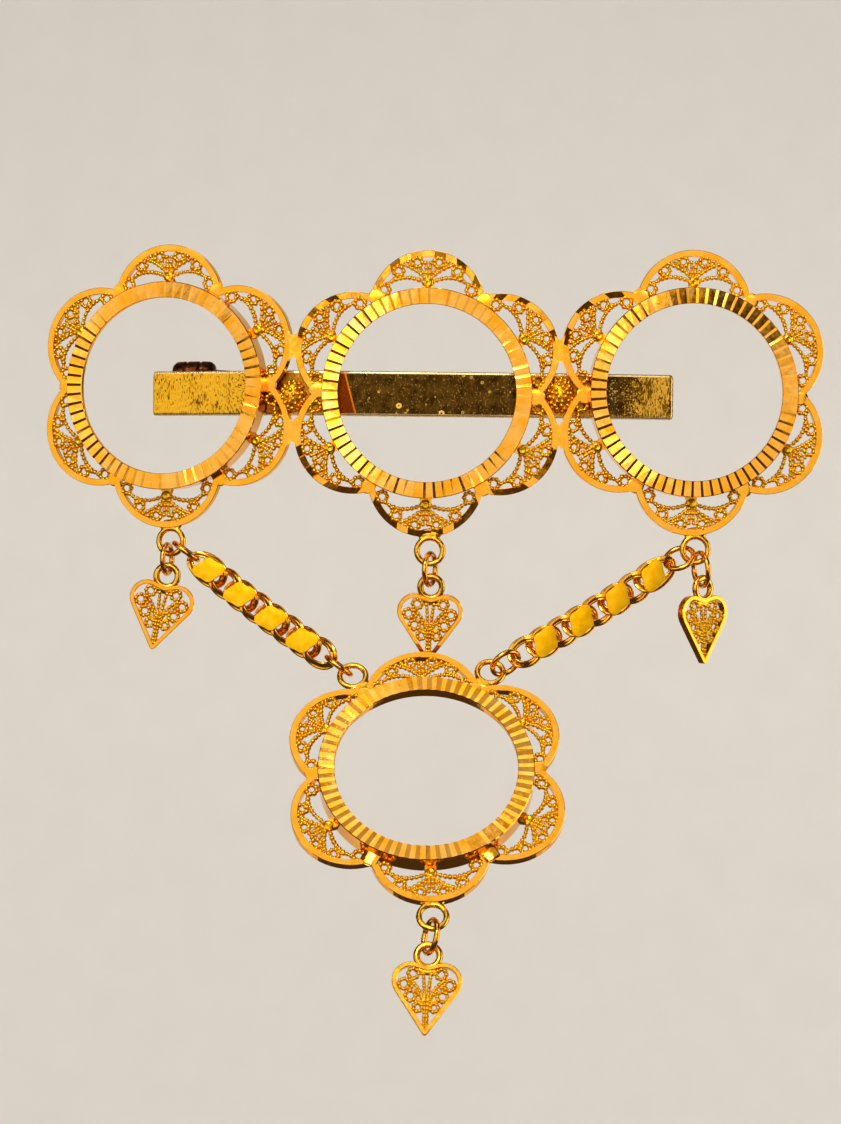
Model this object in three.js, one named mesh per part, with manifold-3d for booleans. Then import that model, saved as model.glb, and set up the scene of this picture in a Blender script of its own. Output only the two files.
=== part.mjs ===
// A coin brooch: three flower-shaped coin frames in a row on a pin bar, a fourth frame hung below
// them on two plate chains, and four heart drops. The coin settings are empty.
// Millimetres, +Z up, the face looks along -Y. The origin is the middle of the bar's back.
import * as THREE from 'three';
import { mergeVertices } from 'three/addons/utils/BufferGeometryUtils.js';
import Module from 'manifold-3d';

const wasm = await Module();
wasm.setup();

const AXIS_X = new THREE.Vector3(1, 0, 0);
const AXIS_Y = new THREE.Vector3(0, 1, 0);
const AXIS_Z = new THREE.Vector3(0, 0, 1);
const FRONT = new THREE.Vector3(0, -1, 0);
const DOWN = new THREE.Vector3(0, 0, -1);
const rad = THREE.MathUtils.degToRad;

// ---- driving dimensions ----

const COIN_RADIUS = 11.03; // the coin that each setting holds
const GAP = 0.3; // kept between pieces that meet
const PETALS = 6;
const FRAME_SIDES = 40; // facets round a coin frame

// A coin frame, measured from the middle of its opening and forwards from its back.
const SEAT_RADIUS = COIN_RADIUS + 0.07;
const OPENING_RADIUS = 10.4;
const BEZEL_RADIUS = 12.3;
const BEZEL_DEPTH = 2.4;
const LIP_DEPTH = 0.6;
const BORDER_DEPTH = 0.9;
const PETAL_OUT = 9.95; // from the frame's middle to a petal's centre
const PETAL_RADIUS = 6.84;
const BORDER_INNER = SEAT_RADIUS + 0.6; // the border ends inside the bezel's wall
const BOSS_OUT = 13.0; // from the frame's middle to the point its petal pattern starts from
const HALF_WIDTH = PETAL_OUT * Math.cos(Math.PI / PETALS) + PETAL_RADIUS;

// Pierced openings in one petal, mirrored on its other side: sideways and outwards from its boss.
const PIERCINGS = [
  [
    { side: 0.75, out: -0.5 }, { side: 2.6, out: 0.1 }, { side: 4.5, out: -0.45 },
    { side: 4.4, out: -1.35 }, { side: 2.5, out: -0.75 },
  ],
  [
    { side: 0.95, out: 0.45 }, { side: 2.4, out: 0.75 },
    { side: 2.45, out: 1.55 }, { side: 1.45, out: 1.25 },
  ],
];

// Eyes soldered to a frame's edge.
const EYE_RADIUS = 1.52; // to the middle of the wire
const EYE_WIRE = 0.72;
const EYE_FOOT = 1.4; // radius of the solder at the eye's foot
const EYE_FOOT_IN = 2.4; // from the eye's middle to that of its foot
const LOWER_EYE_OUT = 18.4;
const UPPER_EYE_OUT = 16.0;
const UPPER_EYE_TURN = 180 / PETALS; // over the valleys beside the top petal
const LOWER_EYE_TURN = 1.7; // degrees that the row's eyes sit off the vertical

// The row of three frames on the bar.
const RISE_LEFT = 0.8; // the outer frames stand this much higher than the middle one
const RISE_RIGHT = 0.5;
const TURN_LEFT = 17; // degrees that the left end of the row is bent back
const TURN_RIGHT = 4;
const JOINT_X = HALF_WIDTH + GAP / 2;
const BAR_DEPTH = 1.0;
const BAR_HEIGHT = 5.3;
const BAR_LEFT = 17.9; // from a joint to the bar's end, along the bar
const BAR_RIGHT = 13.6;
const ROW_BACK = -(BAR_DEPTH + GAP); // y of the frames' backs
const ROSETTE = { half_width: 1.05, half_height: 1.3, proud: 1.7, z: 0.3 }; // over each joint
const ROSETTE_CUT = 6; // depth of the block that trims a rosette's back

// The pin behind the bar.
const BARREL = { radius: 1.4, length: 5.2, along: 13.2, z: 2.6 }; // the pin's hinge barrel
const PIN_WIRE = 1.1;
const CATCH_ALONG = 10.2; // from the right joint
const CATCH = { width: 3.0, depth: 2.2, height: 3.4 };

// The hanging frame.
const DROP = { x: 0.4, y: -12.4, z: -43.9, lean: 36.5, roll: 2.7 };

// Wire rings that join the parts.
const RING_RADIUS = 1.72;
const RING_WIRE = 0.64;
const RING_REACH = 2.1; // from an eye's middle to that of the ring in it

// Heart drops, measured upwards from the tip.
const HEART_DEPTH = 0.8;
const LOBE = { side: 1.8, up: 6.15, radius: 2.05 };
const HEART_TIP = 0.35;
const HEART_FLANK = { side: 3.75, up: 4.25 }; // the point that bends a side from its tip to its lobe
const HEART_EYE = { up: 9.0, radius: 1.27, wire: 0.78, foot_up: 7.0, foot_radius: 1.15 };
const HEART_REACH = 2.04; // from a ring's middle to the heart's eye
const HEART_PIERCINGS = [
  { side: 2.4, up: 5.8, radius: 0.55 },
  { side: 1.35, up: 3.9, radius: 0.55 },
];

// Chain links.
const LINK_LONG = 1.95; // half lengths and widths to the middle of the wire
const LINK_WIDE = 1.45;
const LINK_RISE = 0.37; // how far the twist lifts the wire
const LINK_WIRE = 0.5;
const LINK_STEPS = 14; // sections along a link's wire
const LINK_SIDES = 5;
const END_LINK_LONG = 3.0; // the first link is drawn out to a longer eye
const FIRST_LINK_GAP = 2.08; // from the first link's middle to the ring's wire
const LAST_LINK_GAP = 1.15;
const PLATE = { half_long: 1.5, half_wide: 1.6, waist: 1.25, back: 0.8, depth: 0.3 };
const PLATE_POST = { radius: 0.2, along: 1.2 }; // joins a plate to the wire behind it
const CHAIN_LINKS = 8;
const CHAIN_SLACK = 0.35;

const GOLD = new THREE.MeshStandardMaterial({ color: 0xf2a90a, roughness: 0.28, metalness: 1 });
const BRIGHT = new THREE.MeshStandardMaterial({ color: 0xffc21a, roughness: 0.12, metalness: 1 });
const ROSY = new THREE.MeshStandardMaterial({ color: 0xe89a3c, roughness: 0.25, metalness: 1 });
const CAST = new THREE.MeshStandardMaterial({ color: 0xc9921c, roughness: 0.45, metalness: 1 });
const STEEL = new THREE.MeshStandardMaterial({ color: 0x9a7a3a, roughness: 0.35, metalness: 1 });

// ---- joining and cutting ----

function toSolid(geometry) {
  const bare = geometry.clone();
  bare.deleteAttribute('normal');
  bare.deleteAttribute('uv');
  const welded = mergeVertices(bare, 1e-4);
  const mesh = new wasm.Mesh({
    numProp: 3,
    vertProperties: new Float32Array(welded.attributes.position.array),
    triVerts: new Uint32Array(welded.index.array),
  });
  return new wasm.Manifold(mesh);
}

function toGeometry(solid) {
  const mesh = solid.getMesh();
  const geometry = new THREE.BufferGeometry();
  geometry.setAttribute('position', new THREE.BufferAttribute(mesh.vertProperties, 3));
  geometry.setIndex(new THREE.BufferAttribute(mesh.triVerts, 1));
  return geometry;
}

function join(geometries) {
  const solids = geometries.map(toSolid);
  return toGeometry(solids.reduce((whole, piece) => whole.add(piece)));
}

// ---- basic shapes, drawn in the XY plane and facing +Z ----

function sheet(shape, back, depth, curveSegments = 9) {
  const geometry = new THREE.ExtrudeGeometry(shape, { depth, bevelEnabled: false, curveSegments });
  return geometry.translate(0, 0, back);
}

function disc(radius, depth, x, y, back, sides = 14) {
  const geometry = new THREE.CylinderGeometry(radius, radius, depth, sides);
  return geometry.rotateX(Math.PI / 2).translate(x, y, back + depth / 2);
}

function wireRing(radius, wire, steps = 14, sides = 6) {
  return new THREE.TorusGeometry(radius, wire / 2, sides, steps);
}

function polygonHole(points) {
  return new THREE.Path(points.map(([x, y]) => new THREE.Vector2(x, y)));
}

function roundHole(x, y, radius, sides) {
  const corners = [];
  for (let i = 0; i < sides; i += 1) {
    const angle = (-i / sides) * 2 * Math.PI;
    corners.push([x + radius * Math.cos(angle), y + radius * Math.sin(angle)]);
  }
  return polygonHole(corners);
}

// Stands a shape drawn in the XY plane upright, with its face to the front.
function upright(geometry) {
  return geometry.rotateX(Math.PI / 2);
}

// ---- coin frames ----

function petalOutline() {
  const step = (2 * Math.PI) / PETALS;
  const valley = PETAL_OUT * Math.cos(step / 2)
    + Math.sqrt(PETAL_RADIUS ** 2 - (PETAL_OUT * Math.sin(step / 2)) ** 2);
  const reach = Math.atan2(valley * Math.sin(step / 2), valley * Math.cos(step / 2) - PETAL_OUT);
  const outline = new THREE.Shape();
  for (let i = 0; i < PETALS; i += 1) {
    const axis = Math.PI / 2 + i * step;
    const x = PETAL_OUT * Math.cos(axis);
    const y = PETAL_OUT * Math.sin(axis);
    outline.absarc(x, y, PETAL_RADIUS, axis - reach, axis + reach, false);
  }
  return outline;
}

function piercing(points, axis, mirror) {
  const corners = points.map(({ side, out }) => {
    const along = BOSS_OUT + out;
    const across = side * mirror;
    return [
      along * Math.cos(axis) - across * Math.sin(axis),
      along * Math.sin(axis) + across * Math.cos(axis),
    ];
  });
  return polygonHole(corners);
}

function border() {
  const outline = petalOutline();
  outline.holes.push(roundHole(0, 0, BORDER_INNER, FRAME_SIDES));
  for (let i = 0; i < PETALS; i += 1) {
    const axis = Math.PI / 2 + (i * 2 * Math.PI) / PETALS;
    for (const points of PIERCINGS) {
      outline.holes.push(piercing(points, axis, 1), piercing(points, axis, -1));
    }
  }
  return sheet(outline, 0, BORDER_DEPTH, 8);
}

// The bezel is a ring with a lip in front, so the coin goes in from the back.
function bezel() {
  const profile = [
    [SEAT_RADIUS, 0],
    [BEZEL_RADIUS, 0],
    [BEZEL_RADIUS, BEZEL_DEPTH],
    [OPENING_RADIUS, BEZEL_DEPTH],
    [OPENING_RADIUS, BEZEL_DEPTH - LIP_DEPTH],
    [SEAT_RADIUS, BEZEL_DEPTH - LIP_DEPTH],
    [SEAT_RADIUS, 0],
  ].map(([radius, height]) => new THREE.Vector2(radius, height));
  return new THREE.LatheGeometry(profile, FRAME_SIDES).rotateX(Math.PI / 2);
}

function eyePlace(turn, out) {
  const angle = rad(turn);
  return new THREE.Vector3(-out * Math.sin(angle), out * Math.cos(angle), BORDER_DEPTH / 2);
}

function eye(turn, out) {
  const middle = eyePlace(turn, out);
  const foot = eyePlace(turn, out - EYE_FOOT_IN);
  const solder = disc(EYE_FOOT, EYE_WIRE, foot.x, foot.y, (BORDER_DEPTH - EYE_WIRE) / 2, 10);
  return [wireRing(EYE_RADIUS, EYE_WIRE, 12).translate(middle.x, middle.y, middle.z), solder];
}

function coinFrame(name, eyes) {
  const pieces = [border(), bezel(), ...eyes.flatMap(({ turn, out }) => eye(turn, out))];
  const mesh = new THREE.Mesh(upright(join(pieces)), GOLD);
  mesh.name = name;
  return mesh;
}

// ---- bar and pin ----

// A point of the row's plan line, offset backwards; `along` runs outwards from the joint.
function barPoint(sign, turn, back, along) {
  const bend = rad(turn);
  const corner = [sign * (JOINT_X - back * Math.tan(bend / 2)), ROW_BACK + back];
  return [corner[0] + sign * along * Math.cos(bend), corner[1] + along * Math.sin(bend)];
}

function barPlan(front, back) {
  const plan = new THREE.Shape();
  const ends = [
    barPoint(-1, TURN_LEFT, front, BAR_LEFT), barPoint(-1, TURN_LEFT, front, 0),
    barPoint(1, TURN_RIGHT, front, 0), barPoint(1, TURN_RIGHT, front, BAR_RIGHT),
    barPoint(1, TURN_RIGHT, back, BAR_RIGHT), barPoint(1, TURN_RIGHT, back, 0),
    barPoint(-1, TURN_LEFT, back, 0), barPoint(-1, TURN_LEFT, back, BAR_LEFT),
  ];
  plan.setFromPoints(ends.map(([x, y]) => new THREE.Vector2(x, y)));
  return plan;
}

function rosette(sign) {
  const dome = new THREE.SphereGeometry(1, 12, 8);
  dome.scale(ROSETTE.half_width, ROSETTE.proud, ROSETTE.half_height);
  dome.translate(sign * JOINT_X, -BAR_DEPTH, ROSETTE.z);
  return toSolid(dome);
}

function backBar() {
  const strip = toSolid(sheet(barPlan(GAP, GAP + BAR_DEPTH), -BAR_HEIGHT / 2, BAR_HEIGHT));
  const cut = barPlan(GAP + BAR_DEPTH / 2, ROSETTE_CUT);
  const behind = toSolid(sheet(cut, -BAR_HEIGHT, 2 * BAR_HEIGHT));
  const rosettes = rosette(-1).add(rosette(1)).subtract(behind);
  const mesh = new THREE.Mesh(toGeometry(strip.add(rosettes)), CAST);
  mesh.name = 'back_bar';
  return mesh;
}

function rodBetween(start, end, wire) {
  const run = end.clone().sub(start);
  const rod = new THREE.CylinderGeometry(wire / 2, wire / 2, run.length(), 10);
  const turn = new THREE.Quaternion().setFromUnitVectors(AXIS_Y, run.normalize());
  rod.applyQuaternion(turn);
  const middle = start.clone().add(end).multiplyScalar(0.5);
  return rod.translate(middle.x, middle.y, middle.z);
}

// The pin is one piece: a hinge barrel at the left, the stem, and a block that catches its tip.
function pinClasp() {
  const back = 2 * GAP + BAR_DEPTH;
  const barrelAt = barPoint(-1, TURN_LEFT, back + BARREL.radius, BARREL.along);
  const catchAt = barPoint(1, TURN_RIGHT, back + CATCH.depth / 2, CATCH_ALONG);
  const barrel = new THREE.CapsuleGeometry(BARREL.radius, BARREL.length - 2 * BARREL.radius, 3, 10);
  barrel.rotateZ(Math.PI / 2 + rad(-TURN_LEFT)).translate(barrelAt[0], barrelAt[1], BARREL.z);
  const hook = new THREE.BoxGeometry(CATCH.width, CATCH.depth, CATCH.height);
  hook.rotateZ(rad(TURN_RIGHT)).translate(catchAt[0], catchAt[1], 0);
  const start = new THREE.Vector3(barrelAt[0], barrelAt[1] + BARREL.radius / 2, BARREL.z);
  const stem = rodBetween(start, new THREE.Vector3(catchAt[0], catchAt[1], 0), PIN_WIRE);
  const mesh = new THREE.Mesh(join([barrel, hook, stem]), STEEL);
  mesh.name = 'pin_clasp';
  return mesh;
}

// ---- rings, hearts and chains ----

// A ring that hangs from `start`, its middle `reach` along `toward`. With no turn its edge faces
// the front; `turn` is in degrees about `toward`.
function linkRing(name, start, toward, turn, reach, radius = RING_RADIUS) {
  const along = toward.clone().normalize();
  const middle = start.clone().addScaledVector(along, reach);
  const axis = new THREE.Vector3().crossVectors(along, FRONT).normalize();
  axis.applyAxisAngle(along, rad(turn));
  const mesh = new THREE.Mesh(wireRing(radius, RING_WIRE), BRIGHT);
  mesh.name = name;
  mesh.position.copy(middle);
  mesh.quaternion.setFromUnitVectors(AXIS_Z, axis);
  return mesh;
}

function heartOutline() {
  const { side, up, radius } = LOBE;
  const meet = Math.acos(side / radius);
  const outline = new THREE.Shape();
  outline.moveTo(HEART_TIP, HEART_TIP);
  outline.quadraticCurveTo(HEART_FLANK.side, HEART_FLANK.up, side + radius, up);
  outline.absarc(side, up, radius, 0, Math.PI - meet, false);
  outline.absarc(-side, up, radius, meet, Math.PI, false);
  outline.quadraticCurveTo(-HEART_FLANK.side, HEART_FLANK.up, -HEART_TIP, HEART_TIP);
  outline.absarc(0, HEART_TIP, HEART_TIP, Math.PI, 2 * Math.PI, false);
  return outline;
}

function heartShape() {
  const outline = heartOutline();
  for (const { side, up, radius } of HEART_PIERCINGS) {
    outline.holes.push(roundHole(side, up, radius, 6), roundHole(-side, up, radius, 6));
  }
  const { up, radius, wire, foot_up, foot_radius } = HEART_EYE;
  const body = sheet(outline, -HEART_DEPTH / 2, HEART_DEPTH, 4);
  const loop = wireRing(radius, wire, 12, 5).translate(0, up, 0);
  const foot = disc(foot_radius, HEART_DEPTH, 0, foot_up, -HEART_DEPTH / 2, 10);
  return join([body, loop, foot]).translate(0, -up, 0);
}

// A heart hung by its eye's middle. `swing` turns it in its plane, `pitch` brings its tip forward
// and `spin` turns it about the vertical.
function heart(name, eyeAt, swing, pitch, spin) {
  const shape = upright(heartShape().rotateZ(rad(swing))).rotateX(rad(-pitch));
  const mesh = new THREE.Mesh(shape, GOLD);
  mesh.name = name;
  mesh.position.copy(eyeAt);
  mesh.rotation.z = rad(spin);
  return mesh;
}

class TwistedLink extends THREE.Curve {
  constructor(startLong) {
    super();
    this.startLong = startLong;
  }

  getPoint(t, target = new THREE.Vector3()) {
    const angle = 2 * Math.PI * t;
    const along = Math.cos(angle) * (Math.cos(angle) < 0 ? this.startLong : LINK_LONG);
    return target.set(along, LINK_WIDE * Math.sin(angle), LINK_RISE * Math.sin(2 * angle));
  }
}

// The wire's sections stand on the closed path, each joined to the next, and the last to the first.
function linkWire(startLong) {
  const curve = new TwistedLink(startLong);
  const place = (i) => curve.getPoint(i / LINK_STEPS);
  const positions = [];
  const faces = [];
  for (let i = 0; i < LINK_STEPS; i += 1) {
    const middle = place(i);
    const tangent = place(i + 0.01).sub(place(i - 0.01)).normalize();
    const outward = new THREE.Vector3(middle.x, middle.y, 0);
    outward.addScaledVector(tangent, -outward.dot(tangent)).normalize();
    const across = new THREE.Vector3().crossVectors(tangent, outward);
    for (let j = 0; j < LINK_SIDES; j += 1) {
      const angle = (2 * Math.PI * j) / LINK_SIDES;
      const point = middle.clone().addScaledVector(outward, (LINK_WIRE / 2) * Math.cos(angle));
      point.addScaledVector(across, (LINK_WIRE / 2) * Math.sin(angle));
      positions.push(...point.toArray());
      const next = ((i + 1) % LINK_STEPS) * LINK_SIDES;
      const beside = (j + 1) % LINK_SIDES;
      const a = i * LINK_SIDES + j;
      const b = i * LINK_SIDES + beside;
      const c = next + j;
      const d = next + beside;
      faces.push(a, b, c, b, d, c);
    }
  }
  const geometry = new THREE.BufferGeometry();
  geometry.setAttribute('position', new THREE.Float32BufferAttribute(positions, 3));
  geometry.setIndex(faces);
  return geometry;
}

// A hexagon with two blunt corners and bowed sides, the same when turned half round.
function plateOutline() {
  const { half_long: l, half_wide: w, waist } = PLATE;
  const outline = new THREE.Shape();
  outline.moveTo(l, -0.25 * w);
  outline.quadraticCurveTo(waist, 0.3 * w, l * 0.55, w);
  outline.quadraticCurveTo(-0.2 * l, w * 1.05, -l * 0.75, w * 0.6);
  outline.lineTo(-l, 0.25 * w);
  outline.quadraticCurveTo(-waist, -0.3 * w, -l * 0.55, -w);
  outline.quadraticCurveTo(0.2 * l, -w * 1.05, l * 0.75, -w * 0.6);
  outline.closePath();
  return outline;
}

function plateLink(startLong) {
  const { back, depth } = PLATE;
  const post = back + (depth - LINK_RISE) / 2;
  const pieces = [linkWire(startLong), sheet(plateOutline(), back, depth, 3)];
  for (const sign of [1, -1]) {
    const long = sign > 0 ? LINK_LONG : startLong;
    const x = sign * PLATE_POST.along;
    const y = sign * LINK_WIDE * Math.sin(Math.acos(PLATE_POST.along / long));
    pieces.push(disc(PLATE_POST.radius, post, x, y, LINK_RISE / 2, 6));
  }
  return join(pieces);
}

// A chain between two ring middles: plate links and open links by turns, on a slightly slack line.
function chain(side, start, end) {
  const run = end.clone().sub(start);
  const first = RING_RADIUS + FIRST_LINK_GAP;
  const last = RING_RADIUS + LAST_LINK_GAP;
  const pitch = (run.length() - first - last) / (CHAIN_LINKS - 1);
  const length = run.length();
  const along = run.normalize();
  const sag = new THREE.Vector3(0, 0, -CHAIN_SLACK);
  const place = (s) => start.clone().addScaledVector(along, s)
    .addScaledVector(sag, Math.sin((Math.PI * s) / length));
  const links = [];
  for (let i = 0; i < CHAIN_LINKS; i += 1) {
    const s = first + i * pitch;
    const tangent = place(s + 0.1).sub(place(s - 0.1)).normalize();
    const facing = FRONT.clone().addScaledVector(tangent, -FRONT.dot(tangent)).normalize();
    const across = new THREE.Vector3().crossVectors(facing, tangent);
    const plated = i % 2 === 0;
    const startLong = i === 0 ? END_LINK_LONG : LINK_LONG;
    const geometry = plated ? plateLink(startLong) : linkWire(startLong);
    const mesh = new THREE.Mesh(geometry, plated ? BRIGHT : ROSY);
    mesh.name = `chain_${side}_${plated ? 'plate' : 'link'}_${Math.floor(i / 2) + 1}`;
    mesh.position.copy(place(s));
    mesh.quaternion.setFromRotationMatrix(new THREE.Matrix4().makeBasis(tangent, across, facing));
    links.push(mesh);
  }
  return links;
}

// ---- assembly ----

const group = new THREE.Group();

// One frame of the row, turned back about its joint with the middle frame.
function rowFrame(name, sign, turn, rise) {
  const pivot = new THREE.Group();
  pivot.position.set(sign * JOINT_X, ROW_BACK, rise);
  pivot.rotation.z = rad(sign * turn);
  const frame = coinFrame(name, [{ turn: 180 + LOWER_EYE_TURN, out: LOWER_EYE_OUT }]);
  frame.position.x = sign * JOINT_X;
  pivot.add(frame);
  group.add(pivot);
  return frame;
}

function worldEye(frame, turn, out) {
  frame.updateWorldMatrix(true, false);
  const local = eyePlace(turn, out);
  return new THREE.Vector3(local.x, -local.z, local.y).applyMatrix4(frame.matrixWorld);
}

const frameLeft = rowFrame('frame_left', -1, TURN_LEFT, RISE_LEFT);
const frameMiddle = rowFrame('frame_middle', 0, 0, 0);
const frameRight = rowFrame('frame_right', 1, TURN_RIGHT, RISE_RIGHT);

const frameDrop = coinFrame('frame_drop', [
  { turn: UPPER_EYE_TURN, out: UPPER_EYE_OUT },
  { turn: -UPPER_EYE_TURN, out: UPPER_EYE_OUT },
  { turn: 180, out: LOWER_EYE_OUT },
]);
const dropGroup = new THREE.Group();
dropGroup.position.set(DROP.x, DROP.y, DROP.z);
dropGroup.rotation.x = rad(-DROP.lean);
frameDrop.rotation.y = rad(-DROP.roll);
frameDrop.position.y = BORDER_DEPTH / 2;
dropGroup.add(frameDrop);
group.add(dropGroup);

group.add(backBar(), pinClasp());

const eyeLeft = worldEye(frameLeft, 180 + LOWER_EYE_TURN, LOWER_EYE_OUT);
const eyeMiddle = worldEye(frameMiddle, 180 + LOWER_EYE_TURN, LOWER_EYE_OUT);
const eyeRight = worldEye(frameRight, 180 + LOWER_EYE_TURN, LOWER_EYE_OUT);
const eyeDropLeft = worldEye(frameDrop, UPPER_EYE_TURN, UPPER_EYE_OUT);
const eyeDropRight = worldEye(frameDrop, -UPPER_EYE_TURN, UPPER_EYE_OUT);
const eyeDropBottom = worldEye(frameDrop, 180, LOWER_EYE_OUT);

// The rings that carry the hearts: moved sideways by `shift`, leaning sideways by `lean` and forwards
// by `tilt`, and turned by `turn`. Degrees and millimetres.
const HEART_RINGS = [
  { name: 'left', eye: eyeLeft, shift: -0.42, lean: 0, tilt: 0, turn: 14, radius: 1.72 },
  { name: 'middle', eye: eyeMiddle, shift: -0.1, lean: 4, tilt: -15, turn: 21, radius: 1.86 },
  { name: 'right', eye: eyeRight, shift: 0.45, lean: 6, tilt: 0, turn: -20, radius: 1.95 },
  { name: 'bottom', eye: eyeDropBottom, shift: 0, lean: -6, tilt: 20, turn: -20, radius: 1.86 },
];
const HEARTS = {
  left: { pitch: 0, swing: -11, spin: 0 },
  middle: { pitch: -8, swing: -2, spin: 0 },
  right: { pitch: 0, swing: 1, spin: 42 },
  bottom: { pitch: 22, swing: -2, spin: 0 },
};

for (const { name, eye: eyeAt, shift, lean, tilt, turn, radius } of HEART_RINGS) {
  const start = eyeAt.clone().addScaledVector(AXIS_X, shift);
  const toward = DOWN.clone().applyAxisAngle(FRONT, rad(lean)).applyAxisAngle(AXIS_X, rad(-tilt));
  const extra = radius - RING_RADIUS;
  const ring = linkRing(`heart_ring_${name}`, start, toward, turn, RING_REACH + extra, radius);
  const hung = ring.position.clone().addScaledVector(toward, HEART_REACH + extra);
  const { pitch, swing, spin } = HEARTS[name];
  group.add(ring, heart(`heart_${name}`, hung, swing, pitch, spin));
}

// Chains: each runs from a ring on an outer frame's eye to a ring on the hanging frame's.
const CHAINS = [
  { side: 'left', top: eyeLeft, bottom: eyeDropLeft, turn: 0, shift: 0.2, reach: 2.1 },
  { side: 'right', top: eyeRight, bottom: eyeDropRight, turn: -40, shift: -0.2, reach: 2.0 },
];

for (const { side, top, bottom, turn, shift, reach } of CHAINS) {
  const start = top.clone().addScaledVector(AXIS_X, shift);
  const toward = bottom.clone().sub(start);
  const upper = linkRing(`chain_ring_${side}_top`, start, toward, turn, reach);
  const back = toward.clone().negate();
  const lower = linkRing(`chain_ring_${side}_bottom`, bottom, back, turn, RING_REACH);
  group.add(upper, lower, ...chain(side, upper.position, lower.position));
}

export default group;
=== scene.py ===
from math import atan2, cos, pi, radians, sin, sqrt, tan

import bmesh
import bpy
from mathutils import Matrix, Vector, noise


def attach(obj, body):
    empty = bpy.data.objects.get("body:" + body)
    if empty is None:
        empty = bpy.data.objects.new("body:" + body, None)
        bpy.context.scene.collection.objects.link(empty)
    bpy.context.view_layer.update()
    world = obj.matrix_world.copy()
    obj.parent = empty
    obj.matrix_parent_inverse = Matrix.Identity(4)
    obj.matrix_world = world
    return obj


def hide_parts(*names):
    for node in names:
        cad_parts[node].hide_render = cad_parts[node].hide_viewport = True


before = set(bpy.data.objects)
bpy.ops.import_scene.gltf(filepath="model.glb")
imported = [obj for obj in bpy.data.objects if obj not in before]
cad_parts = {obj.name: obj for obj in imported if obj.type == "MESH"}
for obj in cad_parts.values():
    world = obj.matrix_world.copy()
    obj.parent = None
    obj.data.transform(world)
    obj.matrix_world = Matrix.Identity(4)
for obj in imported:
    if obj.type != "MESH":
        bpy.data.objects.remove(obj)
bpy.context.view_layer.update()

MM = 0.001
SCALE = Matrix.Scale(MM, 4)
FRONT = Vector((0, -1, 0))
UP = Vector((0, 0, 1))
UPRIGHT = Matrix.Rotation(pi / 2, 4, "X")  # stands a flat drawing up, its face to the front

# ---- sizes in millimetres and degrees, those of the brooch's solids ----

PETALS = 6
SEAT_RADIUS = 11.1
OPENING_RADIUS = 10.4
BEZEL_RADIUS, BEZEL_DEPTH = 12.3, 2.4
LIP_DEPTH = 0.6
BORDER_DEPTH = 0.9
PETAL_OUT, PETAL_RADIUS = 9.95, 6.84  # each petal is part of a circle: its middle's distance and its radius
BOSS_OUT, BOSS_RADIUS = 13.0, 0.7
JOINT_X = PETAL_OUT * cos(pi / PETALS) + PETAL_RADIUS + 0.15
ROW_BACK = -1.3
TURN_LEFT, TURN_RIGHT = 17, 4
RISE_LEFT, RISE_RIGHT = 0.8, 0.5
DROP_AT, DROP_LEAN, DROP_ROLL = (0.4, -12.4, -43.9), -36.5, -2.7
BAR_GAP, BAR_DEPTH, BAR_HEIGHT = 0.3, 1.0, 5.3
BAR_LEFT, BAR_RIGHT = 17.9, 13.6  # how far the bar runs outwards from the row's joints
EYE_RADIUS, EYE_WIRE = 1.52, 0.72
RING_RADIUS, RING_WIRE, RING_REACH = 1.72, 0.64, 2.1
HEART_UP, HEART_REACH = 9.0, 2.04
HEART_EYE_RADIUS, HEART_EYE_WIRE = 1.27, 0.78
LINK_LONG, LINK_WIDE, LINK_RISE = 1.95, 1.45, 0.37
END_LINK_LONG = 3.0
PLATE_LONG, PLATE_WIDE, PLATE_TURN = 2.0, 1.48, 40
CHAIN_LINKS = 8
CHAIN_SLACK = 0.35

# ---- where each part stands ----


def turned(angle, axis):
    return Matrix.Rotation(radians(angle), 4, axis)


def moved(x=0.0, y=0.0, z=0.0):
    return Matrix.Translation((x, y, z))


def row_place(side, turn, rise):
    """A flower of the row, turned back about its joint with the middle one."""
    pivot = moved(side * JOINT_X, ROW_BACK, rise) @ turned(side * turn, "Z")
    return pivot @ moved(side * JOINT_X) @ UPRIGHT


def drop_place():
    """The lower flower, hung from its two upper eyes with its lower edge leaning out."""
    leaning = moved(*DROP_AT) @ turned(DROP_LEAN, "X")
    return leaning @ moved(0, BORDER_DEPTH / 2) @ turned(DROP_ROLL, "Y") @ UPRIGHT


PLACES = {
    "left": row_place(-1, TURN_LEFT, RISE_LEFT),
    "middle": row_place(0, 0, 0),
    "right": row_place(1, TURN_RIGHT, RISE_RIGHT),
    "drop": drop_place(),
}

LOWER_EYE = {"turn": 181.7, "out": 18.4}
EYES = {flower: [LOWER_EYE] for flower in ("left", "middle", "right")}
EYES["drop"] = [{"turn": 30, "out": 16.0}, {"turn": -30, "out": 16.0}, {"turn": 180, "out": 18.4}]


def eye_spot(turn, out):
    return Vector((-out * sin(radians(turn)), out * cos(radians(turn)), BORDER_DEPTH / 2))


def eye_at(flower, number=0):
    return PLACES[flower] @ eye_spot(**EYES[flower][number])


def ring_place(start, toward, turn, reach):
    """A ring that hangs `reach` from its start, edge on to the front and then turned about its own line."""
    along = toward.normalized()
    axis = Matrix.Rotation(radians(turn), 3, along) @ along.cross(FRONT).normalized()
    stand = UP.rotation_difference(axis).to_matrix().to_4x4()
    return Matrix.Translation(start + along * reach) @ stand


# ---- meshes ----


def in_scene(name, data):
    made = bpy.data.objects.new(name, data)
    bpy.context.scene.collection.objects.link(made)
    return made


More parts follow.
